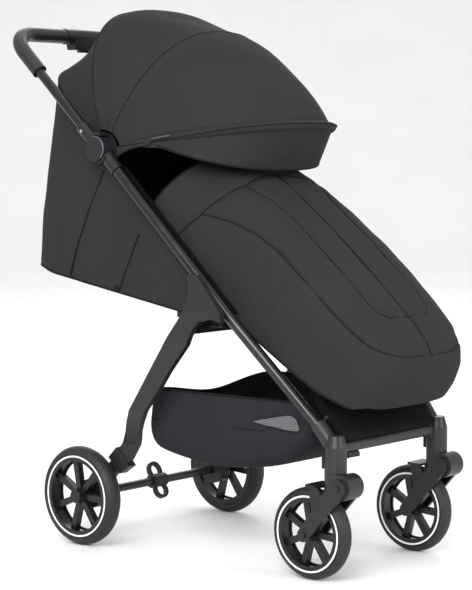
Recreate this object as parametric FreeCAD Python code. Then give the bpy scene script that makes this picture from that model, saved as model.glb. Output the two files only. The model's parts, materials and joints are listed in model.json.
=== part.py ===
import FreeCAD, Part
import math
import os

# Baby stroller, millimetres. +Z up, the occupant faces -Y, the occupant's right is -X. Z = 0 is the
# floor and the origin lies on the floor under the middle of the outline. SHIFT_Y moves the side
# profile, which is laid out from a point 285 mm behind the front axle, onto that origin.
SHIFT_Y = -27.21

# Wheels
REAR_AXLE = (265.0, 101.0)          # y, z
REAR_R = 101.0
REAR_X = 226.0
REAR_W = 38.0
FRONT_AXLE = (-285.0, 87.5)
FRONT_R = 87.5
FRONT_X = 164.0
FRONT_W = 36.0
SPOKES = 7

# Frame
TUBE_R = 11.0
TUBE_X = 220.0
HUB = (214.0, 806.0)                # handle pivot, y and z
HUB_R = 26.0
PLATE_PIVOT = (-86.0, 518.0)        # rear leg pivot, y and z
CASTER_Y = -339.5
CASTER_Z = 208.0                    # seam between the fixed housing and the swivel
BOSS = (-365.0, 184.0)              # fork pivot, y and z
HANDLE_REACH = 353.0                # hub axis to crossbar axis
HANDLE_ANGLE = 42.46                # degrees above the horizontal, to the rear
GRIP_R = 15.5

# Cloth
MUFF_ANGLE = 39.5
MUFF_BASE = (0.0, 600.0)
RECLINE_PIVOT = (26.0, 503.0)
HANGER_STUD = (-60.0, 552.6)        # where the seat's hangers meet the tubes

V = FreeCAD.Vector
os.makedirs("parts", exist_ok=True)


def save(name, shape):
    shape = shape.copy()
    shape.translate(V(0, SHIFT_Y, 0))
    shape.exportStep("parts/" + name + ".step")


def box(x0, x1, y0, y1, z0, z1):
    return Part.makeBox(x1 - x0, y1 - y0, z1 - z0, V(x0, y0, z0))


def rod(a, b, r):
    a = V(*a)
    b = V(*b)
    return Part.makeCylinder(r, (b - a).Length, a, b - a)


def x_disc(x0, x1, y, z, r):
    return Part.makeCylinder(r, x1 - x0, V(x0, y, z), V(1, 0, 0))


def x_ring(x0, x1, y, z, r_in, r_out):
    return x_disc(x0, x1, y, z, r_out).cut(x_disc(x0 - 1, x1 + 1, y, z, r_in))


def fuse(shapes):
    shapes = list(shapes)
    result = shapes[0].multiFuse(shapes[1:])
    return result.removeSplitter()


def other_side(shape):
    return shape.mirror(V(0, 0, 0), V(1, 0, 0))


def save_pair(name, right):
    save(name + "_right", right)
    save(name + "_left", other_side(right))


def rounded(shape, radius, keep=None):
    edges = [e for e in shape.Edges if keep is None or keep(e)]
    try:
        soft = shape.makeFillet(radius, edges)
        if soft.isValid() and soft.Volume > 0:
            return soft
    except Exception:
        pass
    return shape


def side_face(points, x):
    """A face in the plane X = x from (y, z) points."""
    pts = [V(x, y, z) for y, z in points]
    return Part.Face(Part.makePolygon(pts + [pts[0]]))


def side_plate(points, x0, x1):
    return side_face(points, x0).extrude(V(x1 - x0, 0, 0))


def pipe(points, r, bend=30.0):
    """Round bar along a path whose corners are arcs of radius bend."""
    pts = [V(*p) for p in points]
    edges = []
    start = pts[0]
    for before, here, after in zip(pts, pts[1:], pts[2:]):
        u = (before - here).normalize()
        w = (after - here).normalize()
        half = u.getAngle(w) / 2
        back = bend / math.tan(half)
        a = here + u * back
        b = here + w * back
        mid_dir = (u + w).normalize()
        m = here + mid_dir * (bend / math.sin(half) - bend)
        edges.append(Part.makeLine(start, a))
        edges.append(Part.Arc(a, m, b).toShape())
        start = b
    edges.append(Part.makeLine(start, pts[-1]))
    path = Part.Wire(edges)
    ring = Part.Wire(Part.makeCircle(r, pts[0], pts[1] - pts[0]))
    return path.makePipeShell([ring], True, False)


def polar(radius, degrees, centre=HUB):
    a = math.radians(degrees)
    return centre[0] + radius * math.cos(a), centre[1] + radius * math.sin(a)


# ---------------------------------------------------------------- main tubes, from hub to front corner
TUBE_TOP = (-TUBE_X, 184.0, 780.0)
TUBE_KNEE = (-TUBE_X, -140.0, 478.0)
TUBE_END = (-171.0, -308.0, 289.0)
main_tube = pipe([TUBE_TOP, TUBE_KNEE, TUBE_END], TUBE_R, 160.0)
main_tube = main_tube.cut(x_disc(-TUBE_X - 20, -TUBE_X + 20, *PLATE_PIVOT, 5.05))
save_pair("main_tube", main_tube)

# Front bracket: cross member, two caster housings and the two sockets that take the tube ends
housing = rod((-FRONT_X, CASTER_Y, CASTER_Z + 0.4), (-FRONT_X, CASTER_Y, 256.0), 21.0)
crown = Part.makeCone(21.0, 15.0, 22.0, V(-FRONT_X, CASTER_Y, 256.0), V(0, 0, 1))
elbow = pipe([(-170.0, -302.0, 296.0), (-164.5, -338.0, 252.0), (-164.5, -338.0, 215.0)], 15.0, 46.0)
half = fuse([housing, crown, elbow])
beam = box(-150, 150, -345, -325, 242, 262)
beam = rounded(beam, 7.0, lambda e: abs(e.tangentAt(e.FirstParameter).x) > 0.9)
shoulder = side_plate([(-345, 238), (-325, 238), (-317, 258), (-322, 270), (-340, 268)], -160, -136)
bracket = fuse([half, other_side(half), beam, shoulder, other_side(shoulder)])
for side in (-1, 1):
    stem = rod((side * FRONT_X, CASTER_Y, 190), (side * FRONT_X, CASTER_Y, 256), 8.05)
    bracket = bracket.cut(stem)
    bracket = bracket.cut(rod((side * 171.0, -308.0, 289.0), (side * 168.1, -291.2, 307.9), 11.0))
bracket = bracket.cut(main_tube).cut(other_side(main_tube))
save("front_bracket", bracket)

# Small clip under the cross member, where the folded frame hooks
clip = side_plate([(-343, 241.8), (-327, 241.8), (-328, 234), (-338, 230), (-345, 232)], -132, -96)
save("bracket_clip", clip)

# ---------------------------------------------------------------- hubs
base_disc = x_disc(-TUBE_X - 0.2, -207, *HUB, HUB_R)
top = V(*TUBE_TOP)
down = (V(*TUBE_KNEE) - top).normalize()
base_socket = rod(tuple(top - down * 14), tuple(top + down * 26), 13.5)
base_socket = base_socket.cut(rod(tuple(top), tuple(top + down * 60), TUBE_R))
base_socket = base_socket.cut(x_disc(-240, -TUBE_X - 0.2, *HUB, HUB_R + 0.8))
hub_pin = x_disc(-234, -TUBE_X, *HUB, 6.0)
hub_base = fuse([base_disc, base_socket, hub_pin])
save_pair("hub_base", hub_base)


def on_handle(distance, x=-TUBE_X):
    y, z = polar(distance, HANDLE_ANGLE)
    return x, y, z


cap_disc = x_disc(-236, -TUBE_X - 0.6, *HUB, HUB_R)
cap_socket = rod(on_handle(16), on_handle(66), 13.5)
cap_socket = cap_socket.cut(x_disc(-TUBE_X - 0.6, -200, *HUB, HUB_R + 0.8))
cap_socket = cap_socket.cut(x_disc(-208, -190, *HUB, 80))
cap = fuse([cap_disc, cap_socket])
cap = cap.cut(x_disc(-234.2, -200, *HUB, 6.05))
cap = cap.cut(rod(on_handle(28), on_handle(90), TUBE_R - 1.0))
save_pair("hub_cap", cap)

# Rivets through the two handle sockets
rivet_right = x_disc(-235.2, -232.0, *polar(52, HANDLE_ANGLE), 3.2)
rivet_right = rivet_right.cut(cap)
save("socket_rivets", Part.makeCompound([rivet_right, other_side(rivet_right)]))

# ---------------------------------------------------------------- push handle
corner_at = HANDLE_REACH
bar_points = [on_handle(28.2), on_handle(corner_at), on_handle(corner_at, TUBE_X), on_handle(28.2, TUBE_X)]
handle_bar = pipe(bar_points, TUBE_R - 1.0, 62.0)
save("handle_bar", handle_bar)

grip_start = 232.0
grip_points = [on_handle(grip_start), on_handle(corner_at), on_handle(corner_at, TUBE_X),
               on_handle(grip_start, TUBE_X)]
grip_full = pipe(grip_points, GRIP_R, 62.0)
grip_core = pipe(bar_points, TUBE_R - 1.0, 62.0)
housing_gap = box(-64, 64, 300, 600, 900, 1200)
grip = grip_full.cut(grip_core).cut(housing_gap)
save("handle_grips", grip)

# Housing of the one-hand fold control, round the middle of the crossbar, with its window underneath
bar_y, bar_z = polar(corner_at, HANDLE_ANGLE)
pod = x_disc(-63.5, 63.5, bar_y, bar_z, 17.0)
belly = side_plate([(bar_y - 17, bar_z), (bar_y + 17, bar_z), (bar_y + 10, bar_z - 28),
                    (bar_y - 14, bar_z - 28)], -44, 44)
pod = fuse([pod, belly])
pod = pod.cut(x_disc(-80, 80, bar_y, bar_z, TUBE_R - 1.0))
button_room = box(-22, 22, bar_y - 9, bar_y + 5, bar_z - 40, bar_z - 13)
latch_room = box(26, 40, bar_y - 6, bar_y + 4, bar_z - 40, bar_z - 16)
pod = pod.cut(button_room).cut(latch_room)
save("fold_housing", pod)
button = box(-21.4, 21.4, bar_y - 8.4, bar_y + 4.4, bar_z - 33, bar_z - 19)
save("fold_button", rounded(button, 2.0))
latch = box(26.6, 39.4, bar_y - 5.4, bar_y + 3.4, bar_z - 36, bar_z - 21)
save("fold_latch", rounded(latch, 1.5))

# ---------------------------------------------------------------- rear legs: side plate and leg in one
leg_outline = [(-68, 567), (-43, 567), (-48, 538), (-44, 519), (-32, 495), (9, 444), (66, 367), (125, 287),
               (141, 263), (153, 241), (171, 216), (195, 191), (203, 181),
               (160, 171), (133, 212), (124, 227), (115, 246), (101, 266), (75, 298), (42, 335), (9, 377),
               (-39, 430), (-50, 452), (-61, 468), (-73, 478), (-99, 486), (-127, 479), (-127, 497)]
whole = side_plate(leg_outline, -248, -186)


def slab(z_hi, z_lo, x_hi, x_lo):
    """A sloping slab, 13 mm thick in X, between two heights."""
    t = 6.5
    pts = [V(x_hi - t, -200, z_hi), V(x_hi + t, -200, z_hi), V(x_lo + t, -200, z_lo), V(x_lo - t, -200, z_lo)]
    return Part.Face(Part.makePolygon(pts + [pts[0]])).extrude(V(0, 500, 0))


lane = fuse([slab(600, 440, -240.5, -240.5), slab(440, 290, -240.5, -229), slab(290, 215, -229, -196.5),
             slab(215, 150, -196.5, -196.5)])
leg = whole.common(lane)
save_pair("rear_leg", leg)
pin = x_disc(-234.0, -208.6, *PLATE_PIVOT, 5.0)
save("leg_pivot_pins", Part.makeCompound([pin, other_side(pin)]))

# Axle housings: socket round the leg foot, arm down to the axle, brake drum cover
arm = rod((-193.5, 172.0, 193.0), (-190.0, REAR_AXLE[0], REAR_AXLE[1]), 15.0)
collar = side_plate([(188, 205), (210, 183), (178, 152), (152, 170)], -205, -184)
drum = x_disc(-203.5, -172, *REAR_AXLE, 30.0)
housing_r = fuse([arm, collar, drum])
housing_r = housing_r.common(box(-205, -160, 100, 330, 60, 260))
housing_r = housing_r.cut(leg)
housing_r = housing_r.cut(x_disc(-240, -160, *REAR_AXLE, 9.1))
save_pair("axle_housing", housing_r)

axle = x_disc(-244, 244, *REAR_AXLE, 6.0)
sleeve = x_disc(-206, 206, *REAR_AXLE, 9.0)
save("axle_tube", fuse([axle, sleeve]))


# Figure-of-eight brake pedal in the middle, free to rock on the axle tube
def loop(y, z, long_r, tilt):
    """A flat oval ring, 9 mm thick, in the plane across the frame."""
    outer = Part.makeCylinder(19, 9, V(0, 0, -4.5))
    inner = Part.makeCylinder(12, 12, V(0, 0, -6))
    ring = outer.cut(inner)
    m = FreeCAD.Matrix()
    m.scale(V(1.0, long_r / 19.0, 1.0))
    ring = ring.transformGeometry(m)
    ring.rotate(V(0, 0, 0), V(1, 0, 0), tilt)
    ring.translate(V(0, y, z))
    return ring


cuff = x_ring(-20, 20, *REAR_AXLE, 9.08, 14.5)
upper_loop = loop(REAR_AXLE[0] + 9, REAR_AXLE[1] + 19, 20.0, 64.0)
lower_loop = loop(REAR_AXLE[0] - 9, REAR_AXLE[1] - 20, 18.0, 64.0)
pedal = fuse([cuff, upper_loop, lower_loop]).cut(x_disc(-40, 40, *REAR_AXLE, 9.08))
save("brake_pedal", pedal)


# ---------------------------------------------------------------- wheels
def wheel(name, x, side, axle_yz, r, w, both_rings, bore):
    """Tyre, seven-spoke rim and reflective rings. side is -1 on the right, +1 on the left."""
    y, z = axle_yz
    tread = r - (17.5 if r > 95 else 14.0)
    half_w = w / 2
    # tyre: flat bead, rounded tread
    profile = [V(-half_w + 3, tread, 0), V(-half_w, tread + 4, 0), V(-half_w, r - 11, 0)]
    left = [Part.makeLine(profile[0], profile[1]), Part.makeLine(profile[1], profile[2])]
    crown = Part.Arc(profile[2], V(0, r, 0), V(half_w, r - 11, 0)).toShape()
    right = [Part.makeLine(V(half_w, r - 11, 0), V(half_w, tread + 4, 0)),
             Part.makeLine(V(half_w, tread + 4, 0), V(half_w - 3, tread, 0)),
             Part.makeLine(V(half_w - 3, tread, 0), profile[0])]
    face = Part.Face(Part.Wire(left + [crown] + right))
    tyre = face.revolve(V(0, 0, 0), V(1, 0, 0), 360)
    # rim: barrel, hub and blade spokes
    barrel = x_ring(-half_w + 3.5, half_w - 3.5, 0, 0, tread - 9, tread)
    lip_a = x_ring(-half_w + 2.0, -half_w + 5.5, 0, 0, tread - 12, tread)
    lip_b = x_ring(half_w - 5.5, half_w - 2.0, 0, 0, tread - 12, tread)
    hub = x_disc(-half_w + 4, half_w - 4, 0, 0, 15.0)
    spokes = []
    for i in range(SPOKES):
        tip = 11.0
        root = 7.0
        blade = Part.Face(Part.makePolygon([V(-7, -root / 1.2, 12), V(-7, root / 1.2, 12),
                                            V(-7, tip / 1.6, tread - 6), V(-7, -tip / 1.6, tread - 6),
                                            V(-7, -root / 1.2, 12)])).extrude(V(14, 0, 0))
        blade.rotate(V(0, 0, 0), V(1, 0, 0), 360.0 / SPOKES * (i + 0.5) + 170)
        spokes.append(blade)
    rim = fuse([barrel, lip_a, lip_b, hub] + spokes).cut(x_disc(-60, 60, 0, 0, bore))
    ring_r = tread - 0.5
    rings = [x_ring(side * half_w - side * 2.0 - 0.6, side * half_w - side * 2.0 + 0.6, 0, 0, ring_r - 3.4, ring_r)]
    if both_rings:
        rings.append(x_ring(-side * half_w + side * 2.0 - 0.6, -side * half_w + side * 2.0 + 0.6,
                            0, 0, ring_r - 3.4, ring_r))
    rim = rim.cut(rings[0])
    if both_rings:
        rim = rim.cut(rings[1])
    move = V(x, y, z)
    for shape, part_name in ((tyre, "tyre_"), (rim, "rim_"), (Part.makeCompound(rings), "ring_")):
        shape.translate(move)
        save(part_name + name, shape)


wheel("rear_right", -REAR_X, -1, REAR_AXLE, REAR_R, REAR_W, False, 6.06)
wheel("rear_left", REAR_X, 1, REAR_AXLE, REAR_R, REAR_W, False, 6.06)
wheel("front_right", -FRONT_X, -1, FRONT_AXLE, FRONT_R, FRONT_W, True, 5.06)
wheel("front_left", FRONT_X, 1, FRONT_AXLE, FRONT_R, FRONT_W, True, 5.06)

# Caps on the outer face of the rear hubs
cap_r = x_disc(-REAR_X - REAR_W / 2 + 4.2 - 6, -REAR_X - REAR_W / 2 + 4.0, *REAR_AXLE, 14.0)
cap_r = cap_r.cut(x_disc(-244.2, -200, *REAR_AXLE, 6.3))
cap_r = rounded(cap_r, 1.5, lambda e: e.Length > 80)
save("axle_caps", Part.makeCompound([cap_r, other_side(cap_r)]))

# ---------------------------------------------------------------- casters
stem = rod((-FRONT_X, CASTER_Y, 190), (-FRONT_X, CASTER_Y, 250), 8.0)
swivel_body = rod((-FRONT_X, CASTER_Y, 166), (-FRONT_X, CASTER_Y, CASTER_Z), 21.0)
boss = x_disc(-FRONT_X - 21.5, -FRONT_X + 21.5, *BOSS, 24.0)
swivel = fuse([stem, swivel_body, boss])
swivel = swivel.cut(x_disc(-FRONT_X - 40, -FRONT_X + 40, *BOSS, 5.05))
for room_y, room_z in (FRONT_AXLE, (-278.5, 93.3)):
    swivel = swivel.cut(x_disc(-FRONT_X - 21, -FRONT_X + 21, room_y, room_z, FRONT_R + 1.5))
save_pair("caster_swivel", swivel)


def arm_plate(x0, x1):
    """One fork arm from the fork pivot to the front axle."""
    a = V(x0, BOSS[0], BOSS[1])
    b = V(x0, FRONT_AXLE[0], FRONT_AXLE[1])
    along = (b - a).normalize()
    across = V(0, -along.z, along.y)
    pts = [a + across * 17, b + across * 13, b - across * 13, a - across * 17]
    body = Part.Face(Part.makePolygon(pts + [pts[0]])).extrude(V(x1 - x0, 0, 0))
    ends = [x_disc(x0, x1, *BOSS, 17.0), x_disc(x0, x1, *FRONT_AXLE, 13.0)]
    return fuse([body] + ends)


arm_out = arm_plate(-FRONT_X - 30, -FRONT_X - 22)
arm_in = arm_plate(-FRONT_X + 22, -FRONT_X + 30)
guard = x_ring(-FRONT_X - 26, -FRONT_X + 26, *FRONT_AXLE, FRONT_R + 4.5, FRONT_R + 9.0)
guard = guard.common(side_plate([FRONT_AXLE, (-316, 200), (-288, 200)], -200, -100))
gusset = [(-334, 152), (-318, 176), (-310, 183), (-294, 183), (-294, 176), (-302, 134)]
cheek = side_plate(gusset, -FRONT_X - 25, -FRONT_X - 22)
cheek_in = side_plate(gusset, -FRONT_X + 22, -FRONT_X + 25)
fork_pin = x_disc(-FRONT_X - 23, -FRONT_X + 23, *BOSS, 5.0)
fork_axle = x_disc(-FRONT_X - 23, -FRONT_X + 23, *FRONT_AXLE, 5.0)
spacers = [x_disc(-FRONT_X - 22.5, -FRONT_X - 18.4, *FRONT_AXLE, 9.0),
           x_disc(-FRONT_X + 18.4, -FRONT_X + 22.5, *FRONT_AXLE, 9.0)]
bolts = [x_disc(-FRONT_X - 33, -FRONT_X - 29, *BOSS, 5.5), x_disc(-FRONT_X - 33, -FRONT_X - 29, *FRONT_AXLE, 6.5)]
fork = fuse([arm_out, arm_in, guard, cheek, cheek_in, fork_pin, fork_axle] + spacers + bolts)
save_pair("caster_fork", fork)

tab = box(-FRONT_X - 9, -FRONT_X + 9, CASTER_Y + 21.3, CASTER_Y + 27.0, 214, 240)
save_pair("caster_lock", rounded(tab, 1.5))

# ---------------------------------------------------------------- seat support
seat_bar = rod((-206.0, -24, 458), (206.0, -24, 458), 9.0)
base = rounded(box(-188, 188, -80, 18, 463, 484), 3.0)
ears = box(-193, -172, 8, 31, 478, 510).fuse(box(172, 193, 8, 31, 478, 510))
recline_rod = x_disc(-176, 176, *RECLINE_PIVOT, 3.0)
hanger = side_plate([(-33, 450), (-15, 450), (-52, 560), (-68, 552)], -200.7, -197.2)
stud = x_disc(-209.6, -197.2, *HANGER_STUD, 5.0).cut(main_tube)
seat_base = fuse([seat_bar, base, ears, recline_rod, hanger, stud, other_side(hanger), other_side(stud)])
save("seat_base", seat_base)
pad = box(-168, 168, -96, 20, 485, 505)
save("seat_pad", rounded(pad, 7.0))


def on_tube(distance, lift):
    """(y, z) at a distance down the straight upper tube from its top, lifted square to it."""
    a = V(0, TUBE_TOP[1], TUBE_TOP[2])
    b = V(0, TUBE_KNEE[1], TUBE_KNEE[2])
    d = (b - a).normalize()
    p = a + d * distance + V(0, d.z, -d.y) * lift
    return p.y, p.z


# Cloth rails along the inner top side of the upper tubes
rail_upper = side_plate([on_tube(24, 12), on_tube(24, -6), on_tube(425, -6), on_tube(425, 10)], -208, -201)
rail = rail_upper.cut(main_tube).cut(hub_base)
rail = rail.cut(x_disc(-215, -195, *HANGER_STUD, 5.3))

# Calf rest: flat padded board between the tubes, down to the cross member
calf = side_plate([(-110, 478), (-118, 487), (-262, 384), (-320, 306), (-344, 276), (-344, 262.2), (-327, 262.2),
                   (-304, 292), (-252, 371)], -149, 149)
calf = rounded(calf, 3.0).cut(bracket)
save("calf_rest", calf)
calf_rivets = []
for side in (-1, 1):
    calf_rivets.append(x_disc(side * 150.5 - 1.4, side * 150.5 + 1.4, -308, 308, 4.0))
save("calf_rivets", Part.makeCompound(calf_rivets))

# Adjuster strap with its buckle below the calf rest
strap = side_plate([(-158, 441), (-170, 430), (-176, 397), (-170, 393), (-163, 427), (-153, 437)], -11, 11)
save("adjuster_strap", strap)

# ---------------------------------------------------------------- backrest board and harness
floor_slope = 0.167


def floor_z(y):
    return 490 + (y - 9) * floor_slope


board = side_plate([(30, floor_z(30) + 7), (345, floor_z(345) + 7), (345, floor_z(345) + 17),
                    (30, floor_z(30) + 17)], -168, 168)
knuckle = x_disc(-168, 168, *RECLINE_PIVOT, 5.5)
board = fuse([board, knuckle]).cut(x_disc(-200, 200, *RECLINE_PIVOT, 3.05))
save("backrest_board", board)
straps = []
for x in (-62.0, 62.0):
    straps.append(side_plate([(60, floor_z(60) + 17.3), (255, floor_z(255) + 17.3), (255, floor_z(255) + 20.3),
                              (60, floor_z(60) + 20.3)], x - 17, x + 17))
save("harness_straps", Part.makeCompound(straps))
crotch = box(-16, 16, -60, 12, 505.0, 508.0)
buckle = rounded(box(-24, 24, -6, 14, 507.0, 521), 3.0)
save("harness_buckle", crotch.fuse(buckle))


# ---------------------------------------------------------------- hoops of the canopy
def super_curve(half_w, reach, n, count=13):
    """(across, out) points of a rounded arch, from one foot over the crown to the other foot."""
    pts = []
    for i in range(count):
        a = math.pi * i / (count - 1)
        c = math.cos(a)
        s = math.sin(a)
        pts.append((math.copysign(abs(c) ** (2 / n), c) * half_w * -1, s ** (2 / n) * reach))
    return pts


def arch_curve(half_w, reach, n, foot, direction, start=0.0):
    """Spline through an arch that stands on foot (y, z) and rises along direction (degrees)."""
    a = math.radians(direction)
    pts = []
    for x, out in super_curve(half_w, reach, n):
        out = start + out
        pts.append(V(x, foot[0] + out * math.cos(a), foot[1] + out * math.sin(a)))
    curve = Part.BSplineCurve()
    curve.interpolate(pts)
    return curve.toShape(), pts


def band(half_w, reach, n, foot, direction, thick, start=0.0):
    """Closed wire of a thin arch-shaped strip."""
    outer, po = arch_curve(half_w, reach, n, foot, direction, start)
    inner, pi_ = arch_curve(half_w - thick, reach - thick, n, foot, direction, start)
    return Part.Wire([outer, Part.makeLine(po[-1], pi_[-1]), inner, Part.makeLine(pi_[0], po[0])])


def hoop(half_w, reach, n, foot, direction, size, start=0.0):
    """A bow: the thin arch, size mm thick both ways."""
    a = math.radians(direction)
    wire = band(half_w, reach, n, foot, direction, size, start)
    face = Part.Face(wire)
    side = V(0, -math.sin(a), math.cos(a)) * size
    body = face.extrude(side)
    body.translate(side * -0.5)
    return body


CANOPY_N = 2.4
CANOPY_W = 205.0
START = 31.0
REAR_BOW = (298.0 - START, 72.0)
MID_BOW = (272.0 - START, 120.3)
FRONT_BOW = (364.0 - START, 173.4)
RIM_ANGLE = 38.0                    # top edge of the bucket behind the seat
VISOR_FOOT = (85.0, 815.0)
VISOR = (178.0, 196.0)
BOW = 5.0
SKIN = 2.4
INSIDE = 3.6                        # the bows run this far inside the cloth's outer face


def canopy_bow(name, spec, eye_x):
    """A bow whose feet end in flat eyes on the hub axis, stacked side by side from eye_x inwards."""
    reach, angle = spec
    arch = hoop(CANOPY_W - INSIDE, reach - INSIDE, CANOPY_N, HUB, angle, BOW, START)
    eye = x_disc(eye_x, eye_x + 1.9, *HUB, 9.0)
    foot = side_plate([polar(9, angle - 30), polar(9, angle + 30), polar(35, angle + 4), polar(35, angle - 4)],
                      eye_x, eye_x + 1.9)
    eye = eye.fuse(foot).cut(x_disc(eye_x - 1, eye_x + 3, *HUB, 3.05))
    bow = fuse([arch, eye, other_side(eye)])
    save(name, bow)
    return bow


canopy_bow("canopy_bow_rear", REAR_BOW, -201.8)
canopy_bow("canopy_bow_mid", MID_BOW, -199.7)
front_bow = canopy_bow("canopy_bow_front", FRONT_BOW, -197.6)
save("visor_bow", hoop(200.0 - INSIDE, VISOR[0] - INSIDE, 2.5, VISOR_FOOT, VISOR[1], 4.0, 4.0))


def panel(spec_a, spec_b):
    wires = []
    for spec in (spec_a, spec_b):
        half_w, reach, n, foot, direction, start = spec
        wires.append(band(half_w, reach, n, foot, direction, SKIN, start))
    return Part.makeLoft(wires, True, True)


rear_spec = (CANOPY_W, REAR_BOW[0], CANOPY_N, HUB, REAR_BOW[1] + 0.3, START)
mid_spec_a = (CANOPY_W, MID_BOW[0], CANOPY_N, HUB, MID_BOW[1] - 0.2, START)
mid_spec_b = (CANOPY_W, MID_BOW[0], CANOPY_N, HUB, MID_BOW[1] + 0.2, START)
front_spec = (CANOPY_W, FRONT_BOW[0], CANOPY_N, HUB, FRONT_BOW[1], START)
save("canopy_rear_panel", panel(rear_spec, mid_spec_a))
save("canopy_front_panel", panel(mid_spec_b, front_spec).cut(front_bow))
visor_top = (201.0, 225.0, 2.5, (VISOR_FOOT[0] - 4, 817.0), 173.4, 4.0)
visor_rim = (200.0, VISOR[0], 2.5, VISOR_FOOT, VISOR[1], 4.0)
save("visor_panel", panel(visor_top, visor_rim))


# Canopy clips, two short lips that hold the bows at each hub
def arc_lip(a0, a1, r0, r1, x0, x1):
    ring = x_ring(x0, x1, *HUB, r0, r1)
    wedge = side_plate([HUB, polar(90, a0), polar(90, a1)], x0 - 1, x1 + 1)
    return ring.common(wedge)


clip_plate = x_disc(-206.4, -205.6, *HUB, 33.0)
clip_boss = x_disc(-205.7, -202.5, *HUB, 26.0)
bow_pin = x_disc(-203, -195, *HUB, 3.0)
lip_top = arc_lip(76, 116, 28.5, 33.0, -235, -205.6)
lip_low = arc_lip(-152, -108, 28.5, 33.0, -235, -205.6)
canopy_clip = fuse([clip_plate, clip_boss, bow_pin, lip_top, lip_low]).cut(base_socket).cut(main_tube)
save("canopy_clips", Part.makeCompound([canopy_clip, other_side(canopy_clip)]))


# ---------------------------------------------------------------- back cloth, a tub behind the tubes
def u_section(z, y_front, y_turn, y_rear, half_w, n):
    """Closed wire at height z: straight sides from the front, rounded head end."""
    pts = []
    for i in range(13):
        a = math.pi * i / 12
        c = math.cos(a)
        s = math.sin(a)
        pts.append(V(-math.copysign(abs(c) ** (2 / n), c) * half_w, y_turn + (y_rear - y_turn) * s ** (2 / n), z))
    curve = Part.BSplineCurve()
    curve.interpolate(pts)
    a = V(-half_w, y_front, z)
    b = V(half_w, y_front, z)
    return Part.Wire([Part.makeLine(a, pts[0]), curve.toShape(), Part.makeLine(pts[-1], b), Part.makeLine(b, a)])


TUB = [(480, 330, 478, 2.8), (545, 312, 494, 2.8), (660, 262, 487, 3.0), (760, 222, 474, 3.0),
       (880, 240, 452, 2.8), (1020, 282, 428, 2.6)]


def tub(inset):
    wires = []
    for z, y_turn, y_rear, n in TUB:
        wires.append(u_section(z, -60, y_turn, y_rear - inset, 197.0 - inset, n))
    return Part.makeLoft(wires, True, False)


outer_tub = tub(0.0)
inner_tub = tub(3.0)


def above(line_y0, line_z0, line_y1, line_z1):
    """Everything above a sloping line in the side view."""
    return side_plate([(line_y0, line_z0), (line_y1, line_z1), (line_y1, 2000), (line_y0, 2000)], -400, 400)


keep = above(-100, floor_z(-100), 700, floor_z(700))
floor_keep = above(-100, floor_z(-100) + 3.0, 700, floor_z(700) + 3.0)
tub_shell = outer_tub.common(keep).cut(inner_tub.common(floor_keep))
rim_far = polar(700, RIM_ANGLE)
side_limit = side_plate([on_tube(10, -14), on_tube(470, -14), (30, 440), (700, 440), rim_far, HUB], -400, 400)
tub_shell = tub_shell.common(side_limit)
tub_shell = tub_shell.cut(box(-188, 188, -200, 30, 400, 1000))
rim_spec = (199.0, 310.0 - START, CANOPY_N, HUB, RIM_ANGLE, START)
back_spec = (CANOPY_W, REAR_BOW[0], CANOPY_N, HUB, REAR_BOW[1] - 0.2, START)
back_panel = panel(back_spec, rim_spec)
back_cloth = fuse([tub_shell, back_panel]).cut(canopy_clip).cut(other_side(canopy_clip)).cut(seat_base)
for side in (-1, 1):
    back_cloth = back_cloth.cut(x_disc(side * 196 - 7, side * 196 + 7, *HUB, 12.5))
save("back_cloth", back_cloth)


# ---------------------------------------------------------------- footmuff, a hollow hood over the tubes
def muff_point(s, x, h):
    a = math.radians(MUFF_ANGLE)
    y = MUFF_BASE[0] - s * math.cos(a) - h * math.sin(a)
    z = MUFF_BASE[1] - s * math.sin(a) + h * math.cos(a)
    return V(x, y, z)


def muff_section(s, half_w, low, high, n, inset):
    pts = []
    for i in range(13):
        a = math.pi * i / 12
        c = math.cos(a)
        q = math.sin(a)
        x = -math.copysign(abs(c) ** (2 / n), c) * (half_w - inset)
        pts.append(muff_point(s, x, low + (high - inset - low) * q ** (2 / n)))
    curve = Part.BSplineCurve()
    curve.interpolate(pts)
    return Part.Wire([curve.toShape(), Part.makeLine(pts[-1], pts[0])])


# station, half width, lower edge, crown height, squareness
MUFF = [(-134, 192, 8, 150, 2.2), (-90, 192, -4, 157, 2.6), (-40, 191, -14, 162, 3.1), (20, 190, -22, 166, 3.7),
        (90, 188, -27, 169, 4.2), (170, 185, -22, 170, 4.6), (250, 182, -13, 168, 4.7), (330, 178, -4, 164, 4.6),
        (390, 172, 4, 160, 4.3), (430, 160, 14, 152, 3.8), (455, 147, 20, 140, 3.2), (470, 126, 36, 118, 2.8)]


def muff(inset, first, last):
    wires = []
    for i, (s, w, low, high, n) in enumerate(MUFF):
        s = first if i == 0 else s
        s = last if i == len(MUFF) - 1 else s
        wires.append(muff_section(s, w, low - (3 if inset else 0), high, n, inset))
    return Part.makeLoft(wires, True, True)


muff_outer = muff(0.0, -134, 470)
muff_inner = muff(12.0, -140, 460)
footmuff = muff_outer.cut(muff_inner)
save("footmuff", footmuff)
rail = rail.cut(muff_outer)
save("side_rail_cloth", Part.makeCompound([rail, other_side(rail)]))

# ---------------------------------------------------------------- basket, an open tray of cloth
BASKET_TOP = 330.0


def tray(inset, low):
    rim = [V(-188 + inset, 112 - inset, BASKET_TOP), V(188 - inset, 112 - inset, BASKET_TOP),
           V(160 - inset, -276 + inset, BASKET_TOP), V(-160 + inset, -276 + inset, BASKET_TOP)]
    mid = [V(-180 + inset, 130 - inset, 256), V(180 - inset, 130 - inset, 256),
           V(156 - inset, -274 + inset, 256), V(-156 + inset, -274 + inset, 256)]
    bottom = [V(-140 + inset, 128 - inset, low), V(140 - inset, 128 - inset, low),
              V(118 - inset, -190 + inset, low), V(-118 + inset, -190 + inset, low)]
    wires = [Part.makePolygon(p + [p[0]]) for p in (rim, mid, bottom)]
    return Part.makeLoft(wires, True, True)


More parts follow.
